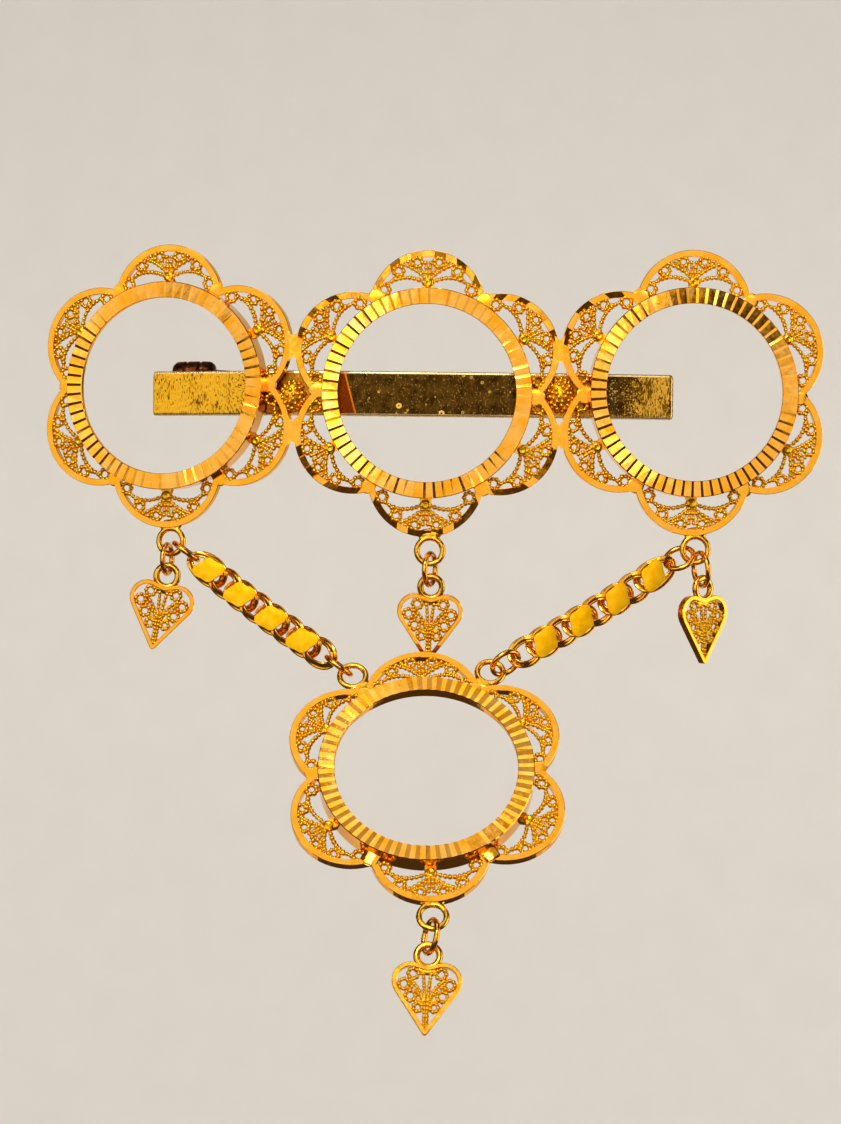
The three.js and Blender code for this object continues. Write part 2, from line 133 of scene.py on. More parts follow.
def mesh_piece(name, shape, place=None, soft_angle=None):
    """A piece from (points, faces) in millimetres. Edges sharper than soft_angle stay crisp."""
    points, faces = shape
    mesh = bpy.data.meshes.new(name)
    mesh.from_pydata([tuple(p) for p in points], [], faces)
    work = bmesh.new()
    work.from_mesh(mesh)
    bmesh.ops.remove_doubles(work, verts=work.verts, dist=1e-4)
    bmesh.ops.dissolve_degenerate(work, edges=work.edges, dist=1e-4)
    bmesh.ops.recalc_face_normals(work, faces=work.faces)
    work.to_mesh(mesh)
    work.free()
    if soft_angle:
        mesh.shade_smooth()
        mesh.set_sharp_from_angle(angle=radians(soft_angle))
    if place:
        mesh.transform(place)
    return in_scene(name, mesh)


def gather(shapes):
    """Several shapes as one."""
    points, faces = [], []
    for some_points, some_faces in shapes:
        start = len(points)
        points += list(some_points)
        faces += [[start + i for i in face] for face in some_faces]
    return points, faces


def put(shape, place):
    return [place @ Vector(p) for p in shape[0]], shape[1]


def sweep(sections, closed=True):
    """Skins sections of equal length, round a loop or as a rod with both ends filled."""
    n, count = len(sections[0]), len(sections)
    points = [p for section in sections for p in section]
    faces = []
    for i in range(count if closed else count - 1):
        k = (i + 1) % count
        faces += [[i * n + j, i * n + (j + 1) % n, k * n + (j + 1) % n, k * n + j] for j in range(n)]
    if not closed:
        faces += [list(range(n))[::-1], [(count - 1) * n + j for j in range(n)]]
    return points, faces


def rod(sections):
    return sweep(sections, closed=False)


def round_turns(steps):
    return [2 * pi * i / steps for i in range(steps)]


def circle_section(middle, out, up, radius, sides):
    return [middle + out * (radius * cos(a)) + up * (radius * sin(a)) for a in round_turns(sides)]


def wire_ring(radius, wire, seam=None):
    """A ring of round wire. Its ends meet at `seam`, in turns, with a fine groove."""
    steps, sides, groove = 64, 14, 0.82
    sections = []
    for i, a in enumerate(round_turns(steps)):
        out = Vector((cos(a), sin(a), 0))
        grooved = seam is not None and i == round(seam * steps)
        sections.append(circle_section(out * radius, out, UP, wire / 2 * (groove if grooved else 1), sides))
    return sweep(sections)


def dome(radius, height, place, rings=5, sides=18, dimple=0.0):
    """A low dome, closed below, with an optional dimple at its top."""
    sections = []
    for i in range(rings + 1):
        a = pi / 2 * i / rings
        sections.append(circle_section(UP * (height * sin(a)), Vector((1, 0, 0)), Vector((0, 1, 0)),
                                       radius * cos(a), sides))
    if dimple:
        for share, h in ((0.5, height), (0.3, height * (1 - dimple))):
            sections.append([Vector((p.x * share, p.y * share, h)) for p in sections[1]])
        del sections[rings]
    return put(rod(sections), place)


def two_domes(radius, above, below, place, sides=18, dimple=0.0):
    """A pebble of solder or gold: one dome to the front and one to the back."""
    front = dome(radius, above, place, sides=sides, dimple=dimple)
    return gather([front, dome(radius, -below, place, sides=sides)])


def footed_loop(place, radius, wire, foot):
    """A loop of wire closed on a foot of solder, so that its hole is D-shaped."""
    low = place @ moved(0, -foot["down"]) @ Matrix.Diagonal((foot["half_wide"], foot["half_high"], 1, 1))
    solder = two_domes(1.0, above=foot["thick"], below=foot["thick"], place=low, sides=24)
    return gather([put(wire_ring(radius, wire), place), solder])


def bent_line(start, through, end, steps=12):
    """A smooth line from start to end by way of a middle point."""
    a, b, c = Vector(start), Vector(through), Vector(end)
    pull = b * 2 - (a + c) / 2
    line = []
    for i in range(steps + 1):
        t = i / steps
        line.append(a * (1 - t) ** 2 + pull * (2 * t * (1 - t)) + c * t ** 2)
    return line


def bead_loop(x, y, radius, steps=24):
    return [Vector((x + radius * cos(a), y + radius * sin(a))) for a in round_turns(steps)]


def wire_guide(lines, closed, height):
    """Edges for wires to follow, as open lines or as closed loops."""
    points, edges = [], []
    for line in lines:
        start, count = len(points), len(line)
        points += [(p.x, p.y, height) for p in line]
        edges += [(start + i, start + (i + 1) % count) for i in range(count if closed else count - 1)]
    mesh = bpy.data.meshes.new("wires")
    mesh.from_pydata(points, edges, [])
    return in_scene("wires", mesh)


def wire_guides(arms, rings, lift, height):
    """Guides for a drawing's arms and rings, each drawn on both sides. The arms are given from `lift` up."""
    lines, loops = [], []
    for side in (-1, 1):
        for arm in arms:
            lines.append(bent_line(*[(side * x, lift + y) for x, y in arm]))
        loops += [bead_loop(side * x, y, radius) for x, y, radius in rings]
    return {"arms": wire_guide(lines, False, height), "rings": wire_guide(loops, True, height)}


def replace_mesh(piece, name, place):
    """The piece as its modifiers leave it, as one plain mesh in its place."""
    mesh = bpy.data.meshes.new_from_object(piece.evaluated_get(bpy.context.evaluated_depsgraph_get()))
    mesh.name = name
    mesh.transform(place)
    bpy.data.objects.remove(piece)
    return in_scene(name, mesh)


def fused(name, shape, place, voxel, rounds):
    """Metal that has run together: the shapes as one skin with soft inner corners."""
    lump = mesh_piece(name + "_parts", shape)
    remesh = lump.modifiers.new("run_together", "REMESH")
    remesh.mode = "VOXEL"
    remesh.voxel_size = voxel
    remesh.use_smooth_shade = True
    ease = lump.modifiers.new("ease", "SMOOTH")
    ease.factor, ease.iterations = 0.5, rounds
    return replace_mesh(lump, name, place)


def finish_piece(piece, gold, slot, *nodes):
    """Gives the piece its metal, and says what it rides on and the solids it stands for. Its slot is not
    used.
    """
    if not piece.data.materials:
        piece.data.materials.append(gold)
    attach(piece, "root")
    if nodes:
        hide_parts(*nodes)


# ---- node trees ----


def add(tree, kind, inputs=(), **settings):
    """Adds a node with its settings. An input is set to a value, or joined to a socket or to a node's
    first output."""
    made = tree.nodes.new(kind)
    for key, value in settings.items():
        setattr(made, key, value)
    for key, value in dict(inputs).items():
        value = value.outputs[0] if isinstance(value, bpy.types.Node) else value
        if isinstance(value, bpy.types.NodeSocket):
            tree.links.new(value, made.inputs[key])
        else:
            made.inputs[key].default_value = value
    return made


def maths(tree, operation, *values):
    return add(tree, "ShaderNodeMath", dict(enumerate(values)), operation=operation).outputs[0]


def shape_tree(name, **inputs):
    """A tree with a shape, its gold and named inputs of each kind going in, and a shape coming out."""
    tree = bpy.data.node_groups.new(name, "GeometryNodeTree")
    for kind, labels in {"Geometry": ["Geometry"], **inputs, "Material": ["Gold"]}.items():
        for label in labels:
            tree.interface.new_socket(label, in_out="INPUT", socket_type="NodeSocket" + kind)
    tree.interface.new_socket("Geometry", in_out="OUTPUT", socket_type="NodeSocketGeometry")
    return tree, add(tree, "NodeGroupInput").outputs


def close_tree(tree, shape, gold):
    """Ends a tree with real meshes and their gold."""
    real = add(tree, "GeometryNodeRealizeInstances", {"Geometry": shape})
    coloured = add(tree, "GeometryNodeSetMaterial", {"Geometry": real, "Material": gold})
    add(tree, "NodeGroupOutput", {0: coloured})
    return tree


def grow(piece, tree, name, place, **sizes):
    """Runs a tree on a piece with the given sizes and keeps the result as a plain mesh."""
    modifier = piece.modifiers.new("grow", "NODES")
    modifier.node_group = tree
    keys = {s.name: s.identifier for s in tree.interface.items_tree if s.in_out == "INPUT"}
    for label, value in sizes.items():
        modifier[keys[label.capitalize()]] = value
    return replace_mesh(piece, name, place)


def granules(tree, spots, size, **more):
    """A small ball on each spot."""
    half = maths(tree, "MULTIPLY", size, 0.5)
    ball = add(tree, "GeometryNodeMeshUVSphere", {"Segments": 8, "Rings": 6, "Radius": half})
    return add(tree, "GeometryNodeInstanceOnPoints", {"Points": spots, "Instance": ball, **more})


def smooth_whole(tree, *shapes):
    whole = add(tree, "GeometryNodeJoinGeometry")
    for shape in shapes:
        tree.links.new(shape, whole.inputs[0])
    return add(tree, "GeometryNodeSetShadeSmooth", {"Geometry": whole})


def granulated_wire_tree():
    """Wire with a row of granules along it. Copies stand round the middle, such as six petals."""
    tree, given = shape_tree("granulated_wire", Float=["Granule", "Pitch", "Core"], Int=["Copies", "Seed"])
    line = add(tree, "GeometryNodeMeshToCurve", {"Mesh": given["Geometry"]})
    stops = add(tree, "GeometryNodeResampleCurve", {"Curve": line, "Length": given["Pitch"]}, mode="LENGTH")
    size = add(tree, "FunctionNodeRandomValue", {2: 0.9, 3: 1.08, "Seed": given["Seed"]}, data_type="FLOAT")
    balls = granules(tree, stops, given["Granule"], Scale=size.outputs[1])
    ring = add(tree, "GeometryNodeCurvePrimitiveCircle",
               {"Resolution": 6, "Radius": maths(tree, "MULTIPLY", given["Core"], 0.5)})
    core = add(tree, "GeometryNodeCurveToMesh", {"Curve": line, "Profile Curve": ring, "Fill Caps": True})
    wire = smooth_whole(tree, balls.outputs[0], core.outputs[0])
    spots = add(tree, "GeometryNodePoints", {"Count": given["Copies"]})
    share = maths(tree, "DIVIDE", 2 * pi, given["Copies"])
    spin = add(tree, "ShaderNodeCombineXYZ",
               {"Z": maths(tree, "MULTIPLY", add(tree, "GeometryNodeInputIndex"), share)})
    copies = add(tree, "GeometryNodeInstanceOnPoints", {"Points": spots, "Instance": wire, "Rotation": spin})
    return close_tree(tree, copies, given["Gold"])


def link_row_tree():
    """One link set at each marked place, turned by the place's `lie`."""
    tree, given = shape_tree("link_row", Object=["Link"])
    shape = add(tree, "GeometryNodeObjectInfo", {"Object": given["Link"]})
    lie = add(tree, "GeometryNodeInputNamedAttribute", {"Name": "lie"}, data_type="FLOAT_VECTOR")
    links = add(tree, "GeometryNodeInstanceOnPoints",
                {"Points": given["Geometry"], "Instance": shape.outputs["Geometry"], "Rotation": lie})
    return close_tree(tree, links, given["Gold"])


def granulated_dome_tree():
    """Granules scattered closely over a dome."""
    tree, given = shape_tree("granulated_dome", Float=["Granule", "Spacing"], Int=["Seed"])
    spots = add(tree, "GeometryNodeDistributePointsOnFaces",
                {"Mesh": given["Geometry"], "Distance Min": given["Spacing"], "Density Max": 60.0,
                 "Seed": given["Seed"]}, distribute_method="POISSON")
    balls = granules(tree, spots, given["Granule"])
    return close_tree(tree, smooth_whole(tree, balls.outputs[0], given["Geometry"]), given["Gold"])


# ---- golds ----


def linear(code):
    """A colour's hex code as linear light."""
    parts = [int(code[i:i + 2], 16) / 255 for i in (1, 3, 5)]
    return [p / 12.92 if p <= 0.04045 else ((p + 0.055) / 1.055) ** 2.4 for p in parts] + [1.0]


def start_material(name, roughness, metallic=1.0):
    """A bare metal or paper, its tree and shader, and the place on it in millimetres."""
    made = bpy.data.materials.new(name)
    made.use_nodes = True
    tree = made.node_tree
    shader = tree.nodes["Principled BSDF"]
    shader.inputs["Metallic"].default_value = metallic
    shader.inputs["Roughness"].default_value = roughness
    spot = add(tree, "ShaderNodeTexCoord").outputs["Object"]
    spot_mm = add(tree, "ShaderNodeVectorMath", {0: spot, "Scale": 1 / MM}, operation="SCALE").outputs[0]
    return made, tree, shader, spot_mm


def speckle(tree, spot_mm, grain_mm, detail=3.0):
    """Soft spots of about the given size."""
    cloud = add(tree, "ShaderNodeTexNoise", {"Vector": spot_mm, "Scale": 1 / grain_mm, "Detail": detail})
    return cloud.outputs["Fac"]


def ramped(tree, amount, first, second, low=0.0, high=1.0):
    """A colour that runs from first to second as the amount goes from low to high."""
    ramp = add(tree, "ShaderNodeValToRGB", {"Fac": amount})
    ends = ramp.color_ramp.elements
    ends[0].position, ends[1].position = low, high
    ends[0].color, ends[1].color = linear(first), linear(second)
    return ramp.outputs[0]


def rough_by(tree, metal, amount, smooth, dull):
    spread = add(tree, "ShaderNodeMapRange", {"Value": amount, "From Min": 0.3, "From Max": 0.7,
                                              "To Min": smooth, "To Max": dull})
    tree.links.new(spread.outputs[0], metal.inputs["Roughness"])


def dent(tree, metal, amount, depth_mm):
    bump = add(tree, "ShaderNodeBump", {"Height": amount, "Distance": depth_mm * MM, "Strength": 1.0})
    tree.links.new(bump.outputs[0], metal.inputs["Normal"])


def clouded_metal(name, roughness, colours, gloss, dents, detail=3.0):
    """A metal that varies in spots. Each of the three has its grain in millimetres first: then come
    two colours, the smooth and the dull roughness, or the depth of the dents in millimetres."""
    gold, tree, metal, spot = start_material(name, roughness)
    shade = ramped(tree, speckle(tree, spot, colours[0]), colours[1], colours[2], 0.35, 0.65)
    tree.links.new(shade, metal.inputs["Base Color"])
    rough_by(tree, metal, speckle(tree, spot, gloss[0]), gloss[1], gloss[2])
    dent(tree, metal, speckle(tree, spot, dents[0], detail), dents[1])
    return gold


def diamond_cut_gold(name, low, high):
    """22-karat gold cut with a diamond: mirror-bright facets with a faint waviness from the tool."""
    return clouded_metal(name, 0.1, (1.6, low, high), (0.5, 0.07, 0.2), (0.7, 0.004), detail=1.0)


def granulated_gold():
    """Cast filigree with granules: a soft gloss, its colour varying in soft spots."""
    colour, rough = (0.9, "#FFB414", "#FFCC30"), (0.35, 0.24, 0.36)
    return clouded_metal("granulated_gold", 0.3, colour, rough, (0.12, 0.006))


def drawn_wire_gold():
    """Drawn gold wire, burnished: long bright streaks and clean dark reflections."""
    colour, rough = (1.1, "#F5A52A", "#FFBC48"), (0.4, 0.08, 0.22)
    return clouded_metal("drawn_wire_gold", 0.14, colour, rough, (0.3, 0.008))


def satin_plate_gold():
    """Rolled gold plate with a brushed satin face: an even yellow glow with no sharp reflections."""
    return clouded_metal("satin_plate_gold", 0.4, (0.8, "#FFB400", "#FFC41E"), (0.3, 0.3, 0.46), (0.06, 0.01))


def solder_gold():
    """Gold solder left as it flowed: bright, yellow and a little uneven."""
    return clouded_metal("solder_gold", 0.2, (0.5, "#F2A61E", "#FFCB4A"), (0.3, 0.1, 0.3), (0.35, 0.03))


def gilt_pin_steel_painted_shade():
    """A gilt spring pin, red-brown and darkened with painted shade for where it sits behind the bar, with
    soft highlights.
    """
    return clouded_metal("gilt_pin_steel_painted_shade", 0.3, (1.2, "#2E150A", "#8E5230"), (0.5, 0.2, 0.45), (0.25, 0.01))


def mixed(tree, amount, first, second):
    """Goes from first to second as the amount goes from 0 to 1. Each is a code or a colour socket."""
    ends = [linear(c) if isinstance(c, str) else c for c in (first, second)]
    return add(tree, "ShaderNodeMix", {0: amount, 6: ends[0], 7: ends[1]}, data_type="RGBA").outputs[2]


def between(tree, amount, low, high):
    """0 at low, 1 at high, and no further."""
    return add(tree, "ShaderNodeMapRange", {"Value": amount, "From Min": low, "From Max": high}).outputs[0]


def dried_drops(tree, spot, size_mm, ring, share):
    """Scattered rings, each the edge of a dried drop: 1 on the ring, 0 off it."""
    cells = add(tree, "ShaderNodeTexVoronoi", {"Vector": spot, "Scale": 1 / size_mm})
    on_ring = maths(tree, "COMPARE", cells.outputs["Distance"], ring, ring * 0.45)
    number = add(tree, "ShaderNodeSeparateColor", {0: cells.outputs["Color"]}).outputs[0]
    return maths(tree, "MULTIPLY", on_ring, maths(tree, "GREATER_THAN", number, 1 - share))


def bar_end_colour(tree, spot, along, streaks):
    """The bar's ends: yellow with dark streaks and pits, the right end a darker yellow with fewer dark
    streaks.
    """
    right = between(tree, along, 0.0, 1.0)
    patches = speckle(tree, spot, 2.4, 1.0)
    worn = maths(tree, "MULTIPLY_ADD", patches, 0.35, streaks)
    kept = maths(tree, "MULTIPLY_ADD", right, -0.08, worn)
    return mixed(tree, between(tree, kept, 0.54, 0.63), "#6E4808", mixed(tree, right, "#F2B42A", "#D6A038"))


def bar_tarnish_and_dark_reflection_colour(tree, spot, along, grain):
    """The bar's middle: olive brown, partly tarnish and partly painted dark reflection, with pale specks,
    brighter at the right, and dried drops of two sizes.
    """
    # Partly tarnish, partly painted dark reflection: this olive brown stands in for the dark that the bar
    # reflects here.
    dull = mixed(tree, between(tree, speckle(tree, spot, 1.1), 0.35, 0.65), "#2E1C06", "#4E3510")
    specks = mixed(tree, between(tree, along, 16.0, 19.0), "#9A7428", "#F6CE84")
    dotted = mixed(tree, between(tree, grain, 0.6, 0.7), dull, specks)
    large = mixed(tree, dried_drops(tree, spot, 2.6, 0.09, 0.45), dotted, "#E0B050")
    return mixed(tree, dried_drops(tree, spot, 1.1, 0.12, 0.3), large, "#A8843A")


# Painted reflection of the middle setting's inner wall on the bar: the x and slant of its edge.
REFLECTION_X, REFLECTION_SLANT = -9.0, 0.27
BROWN_REACH = 3.5  # how far the bar is streaked darker brown to each side of a joint
# Where the bar's middle is painted darker: partly tarnish, partly painted dark reflection.
DARKENED_MIDDLE, DARKENED_HALF = 1.8, 22.5
RIGHT_EDGE_SHIFT = 26.45  # brings the right end's x to the scale of the long edges' height


def with_setting_reflection(tree, along, up, under):
    """A painted reflection of the setting's inner wall: red-brown to the left of a slanting line, with an
    orange edge.
    """
    slant = maths(tree, "MULTIPLY_ADD", up, REFLECTION_SLANT, along)
    reflection = mixed(tree, between(tree, slant, REFLECTION_X + 0.05, REFLECTION_X - 0.1), under, "#662804")
    return mixed(tree, maths(tree, "COMPARE", slant, REFLECTION_X, 0.1), reflection, "#B8641A")


def worn_bar_gold_with_painted_light():
    """A gold strip with its rolled skin left on: streaked and pitted at the ends, olive brown in the middle,
    partly tarnish and partly painted dark reflection, with pale dried drops, a painted red-brown reflection
    of the setting and painted edge highlights."""
    gold, tree, metal, spot = start_material("worn_bar_gold_with_painted_light", 0.3)
    along, _, up = add(tree, "ShaderNodeSeparateXYZ", {0: spot}).outputs
    shrunk = {0: spot, 1: (1.0, 1.0, 0.3)}
    upright = add(tree, "ShaderNodeVectorMath", shrunk, operation="MULTIPLY").outputs[0]
    streaks = speckle(tree, upright, 0.15, 4.0)
    grain = speckle(tree, spot, 0.2)
    middle = with_setting_reflection(tree, along, up, bar_tarnish_and_dark_reflection_colour(tree, spot, along, grain))
    at_joint = maths(tree, "COMPARE", maths(tree, "ABSOLUTE", along), JOINT_X, BROWN_REACH)
    middle = mixed(tree, at_joint, middle, mixed(tree, streaks, "#7A4A0E", "#D08A24"))
    off_middle = maths(tree, "ABSOLUTE", maths(tree, "SUBTRACT", along, DARKENED_MIDDLE))
    ragged = maths(tree, "MULTIPLY_ADD", grain, 14.0, maths(tree, "SUBTRACT", off_middle, DARKENED_HALF))
    whole = mixed(tree, between(tree, ragged, 6.6, 7.6), middle, bar_end_colour(tree, spot, along, streaks))
    # Painted highlight: a pale band along the long edges and the right end, where the eased edges catch the
    # light.
    near_end = maths(tree, "SUBTRACT", along, RIGHT_EDGE_SHIFT)
    outermost = maths(tree, "MAXIMUM", maths(tree, "ABSOLUTE", up), near_end)
    edge_highlight = mixed(tree, between(tree, outermost, 2.32, 2.4), whole, "#FFDC98")
    tree.links.new(edge_highlight, metal.inputs["Base Color"])
    rough_by(tree, metal, streaks, 0.16, 0.4)
    dent(tree, metal, streaks, 0.012)
    return gold


RIM_GOLD = diamond_cut_gold("diamond_cut_rim_gold", "#FFAC1E", "#FFB640")
BEZEL_GOLD = diamond_cut_gold("diamond_cut_bezel_gold", "#FFAA1E", "#FFBC54")
GRANULATED = granulated_gold()
WIRE_GOLD = drawn_wire_gold()
PLATE_GOLD = satin_plate_gold()
SOLDER = solder_gold()
BAR_GOLD = worn_bar_gold_with_painted_light()
PIN_STEEL = gilt_pin_steel_painted_shade()

WIRE_TREE = granulated_wire_tree()
LINK_TREE = link_row_tree()
DOME_TREE = granulated_dome_tree()


# ---- coin frames ----

FLUTES = 64
FLUTE_DROP = 0.075  # a flute's low edge lies this much under its ridge
FLUTE_WIDE, DROP_FLUTE_WIDE = 0.72, 0.54  # share of a flute taken by its wide facet

# How each flower's edge is cut: facets on each petal, how steeply the tipped ones face down, and
# which stay level: every second one, but on the lower petals one in `level_below`. `steep` gives
# some petals a tip of their own.
RIM_CUTS = {
    "left": {"facets": 9, "tip": 0.02, "seed": 3},
    "middle": {"facets": 13, "tip": 0.27, "level_below": 4, "seed": 5},
    "right": {"facets": 9, "tip": 0.04, "seed": 8, "steep": {1: 0.3}},
    "drop": {"facets": 8, "tip": 0.03, "seed": 11},
}
RIM_WIDE = 0.78
JOINED_HEIGHT = 6.0  # facets this near the row's line are level, because they are soldered to the next flower


def chance(*key):
    """A fixed number from 0 to 1 for each key."""
    value = sin(sum(k * f for k, f in zip(key, (12.9898, 78.233, 37.719)))) * 43758.5453
    return value - int(value // 1)


def bezel_shape(wide_share, seed):
    """The coin's setting: a lip in front cut all round into flutes, each a wide and a narrow facet."""
    inside = BEZEL_DEPTH - LIP_DEPTH
    sections = []
    for i in range(FLUTES):
        high = BEZEL_DEPTH - 0.02 * chance(i, seed)
        low = high - FLUTE_DROP * (0.8 + 0.4 * chance(i, seed, 1))
        for share, top in ((0, low), (wide_share, high)):
            a = 2 * pi * (i + share) / FLUTES
            profile = [
                (SEAT_RADIUS, 0), (BEZEL_RADIUS, 0), (BEZEL_RADIUS, top - 0.1), (BEZEL_RADIUS - 0.08, top),
                (OPENING_RADIUS + 0.05, top), (OPENING_RADIUS, top - 0.07), (OPENING_RADIUS, inside),
                (SEAT_RADIUS, inside),
            ]
            sections.append([Vector((r * cos(a), r * sin(a), h)) for r, h in profile])
    return sweep(sections)


def petal_reach(radius):
    """How far round its own circle a petal runs before it meets the next."""
    step = pi / PETALS
    valley = PETAL_OUT * cos(step) + sqrt(radius ** 2 - (PETAL_OUT * sin(step)) ** 2)
    return atan2(valley * sin(step), valley * cos(step) - PETAL_OUT)


def petal_point(axis, radius, share):
    a = axis + share * petal_reach(radius)
    return Vector((PETAL_OUT * cos(axis) + radius * cos(a), PETAL_OUT * sin(axis) + radius * sin(a), 0))


def rim_facet(axis, shares, slope):
    """The rim's sections over one facet, whose face drops by `slope` from its highest corner."""
    inner, outer, edge = PETAL_RADIUS - RIM_WIDE, PETAL_RADIUS, 0.05
    profile = [(inner, BORDER_DEPTH), (outer, BORDER_DEPTH), (outer, edge), (outer - edge, 0),
               (inner + edge, 0), (inner, edge)]
    top_y = max(petal_point(axis, r, s).y for r in (inner, outer) for s in shares)
    sections = []
    for share in shares:
        section = []
        for r, under in profile:
            spot = petal_point(axis, r, share)
            spot.z = max(BORDER_DEPTH - slope * (top_y - spot.y) - under, 0)
            section.append(spot)
        sections.append(section)
    return sections


def rim_shape(facets, tip, seed, level_below=2, steep=()):
    """The flat strip round the petals, its face cut into level facets and facets that face down."""
    steps, level_tip = 3, 0.04 * tip
    sections = []
    for petal in range(PETALS):
        axis = pi / 2 + petal * 2 * pi / PETALS
        every = level_below if sin(axis) < 0 else 2
        lean = dict(steep).get(petal, tip)
        for k in range(facets):
            shares = [-1 + 2 * (k + s / steps) / facets for s in range(steps + 1)]
            middle = petal_point(axis, PETAL_RADIUS, shares[1])
            joined = abs(middle.y) < JOINED_HEIGHT and abs(middle.x) > BEZEL_RADIUS
            level = joined or k % every == 0
            slope = level_tip if level else lean * (0.85 + 0.3 * chance(k, petal, seed))
            sections += rim_facet(axis, shares, slope)
    return sweep(sections)


# A petal's beaded arms, each drawn on both sides: its start, a place it runs through and its end, as
# distances sideways and outwards from the boss.
PETAL_ARMS = [
    ((0.55, 0.1), (2.75, 0.55), (4.7, -0.2)),
    ((0.42, 0.6), (1.5, 1.45), (2.95, 2.1)),
    ((0.2, 0.55), (0.2, 1.3), (0.3, 2.3)),
    ((0.62, 1.15), (0.8, 1.5), (1.0, 1.9)),
    ((1.85, 2.0), (2.1, 2.1), (2.35, 2.4)),
    ((3.5, 0.85), (3.75, 0.6), (3.95, 0.4)),
]
# Its beaded rings: the place of each middle, on a circle about the petal's own, and the ring's radius.
RINGS_OUT = 5.55
PETAL_RINGS = [(RINGS_OUT * sin(radians(lean)), PETAL_OUT + RINGS_OUT * cos(radians(lean)), radius)
               for lean, radius in ((13.2, 0.55), (38.6, 0.58), (67.0, 0.6))]
WIRE_HEIGHT = 0.62
# Each wire's granule, pitch and core, in the petals and in the smaller hearts.
PETAL_GRAINS = {"arms": (0.58, 0.51, 0.35), "rings": (0.6, 0.53, 0.37)}
HEART_GRAINS = {"arms": (0.52, 0.43, 0.32), "rings": (0.54, 0.45, 0.34)}


def filigree(name, wires, grains, place, copies, seed):
    """The beaded arms and rings of a drawing, each with granules of its own size."""
    for kind, guide in wires.items():
        granule, pitch, core = grains[kind]
        made = grow(guide, WIRE_TREE, f"{name}_{kind}", place, granule=granule, pitch=pitch, core=core,
                    copies=copies, seed=seed, gold=GRANULATED)
        finish_piece(made, GRANULATED, "gold")


def boss_shape():
    """The domed boss that a petal's arms spring from, on a short neck to the setting."""
    low, high, ease = 0.25, 0.8, 0.08
    shapes = []
    for petal in range(PETALS):
        turn = turned(petal * 360 / PETALS, "Z")
        neck = []
        for half, y in ((0.8, BEZEL_RADIUS - 0.2), (0.5, BOSS_OUT)):
            corners = ((-half, low), (half, low), (half - ease, high), (ease - half, high))
            neck.append([Vector((x, y, z)) for x, z in corners])
        place = turn @ moved(0, BOSS_OUT, WIRE_HEIGHT)
        boss = two_domes(BOSS_RADIUS, above=0.42, below=0.4, place=place, dimple=0.3)
        shapes += [put(rod(neck), turn), boss]
    return gather(shapes)


# Pads of solder in some of a flower's valleys: how far each climbs to the setting and drops sideways.
SOLDER_PADS = {"drop": {2: {"climb": 0.27, "lean": 0.0}, 3: {"climb": 0.14, "lean": 0.29}}}
PAD_IN, PAD_OUT = 12.2, 13.5
PAD_LOW, PAD_HIGH = 0.3, 0.92
TAB_OUT, TAB_HEIGHT = 12.75, 0.87


def solder_pad(climb, lean):
    """A pad drawn above the setting, its face sloping down outwards and its two ends eased."""
    slices = []
    for x, eased in ((-1.0, 0.1), (-0.8, 0.0), (0.8, 0.0), (1.0, 0.1)):
        rise = PAD_HIGH + lean * (0.5 - x / 1.6) - eased
        corners = ((PAD_IN, PAD_LOW), (PAD_OUT, PAD_LOW), (PAD_OUT, rise), (PAD_IN, rise + climb))
        slices.append([Vector((x, y, z)) for y, z in corners])
    return rod(slices)


def solder_tabs(pads, seed):
    """Tabs of solder that tie the rim's valleys to the setting. Some valleys have a sloping pad on top."""
    step = 360 / PETALS
    shapes = []
    for petal in range(PETALS):
        turn = turned((petal + 0.5) * step + 4 * (chance(petal, seed) - 0.5), "Z")
        wide, long = 0.8 + 0.25 * chance(petal, seed, 2), 0.95 + 0.2 * chance(petal, seed, 4)
        tab = turn @ moved(0, TAB_OUT, TAB_HEIGHT) @ Matrix.Diagonal((wide, long, 1, 1))
        shapes.append(two_domes(1.0, above=0.045, below=0.5, place=tab, sides=16))
        if petal in pads:
            shapes.append(put(solder_pad(**pads[petal]), turn))
    return gather(shapes)


EYE_FOOT = {"down": 1.95, "half_wide": 1.5, "half_high": 0.72, "thick": 0.36}


def eye_shape(turn, out):
    stand = Matrix.Translation(eye_spot(turn, out)) @ turned(turn, "Z")
    return footed_loop(stand, EYE_RADIUS, EYE_WIRE, EYE_FOOT)


def coin_frame(flower):
    place = SCALE @ PLACES[flower]
    cut = RIM_CUTS[flower]
    name = f"frame_{flower}"
    flute_wide = DROP_FLUTE_WIDE if flower == "drop" else FLUTE_WIDE
    bezel = mesh_piece(f"{name}_bezel", bezel_shape(flute_wide, cut["seed"]), place)
    finish_piece(bezel, BEZEL_GOLD, "gold", name)
    finish_piece(mesh_piece(f"{name}_rim", rim_shape(**cut), place), RIM_GOLD, "gold")
    wires = wire_guides(PETAL_ARMS, PETAL_RINGS, BOSS_OUT, WIRE_HEIGHT)
    filigree(name, wires, PETAL_GRAINS, place, PETALS, cut["seed"])
    finish_piece(mesh_piece(f"{name}_bosses", boss_shape(), place, 50), GRANULATED, "gold")
    tabs = solder_tabs(SOLDER_PADS.get(flower, {}), cut["seed"])
    finish_piece(mesh_piece(f"{name}_tabs", tabs, place, 50), RIM_GOLD, "gold")
    for number, eye in enumerate(EYES[flower]):
        made = fused(f"{name}_eye_{number + 1}", eye_shape(**eye), place, voxel=0.11, rounds=6)
        finish_piece(made, SOLDER, "bright_gold")


# ---- the row's joints, the bar and the pin ----


def bar_point(side, turn, back, along):
    """A point of the bar's plan, `back` behind the frames and `along` outwards from a joint."""
    bend = radians(turn)
    x = side * (JOINT_X - back * tan(bend / 2))
    return Vector((x + side * along * cos(bend), ROW_BACK + back + along * sin(bend), 0))


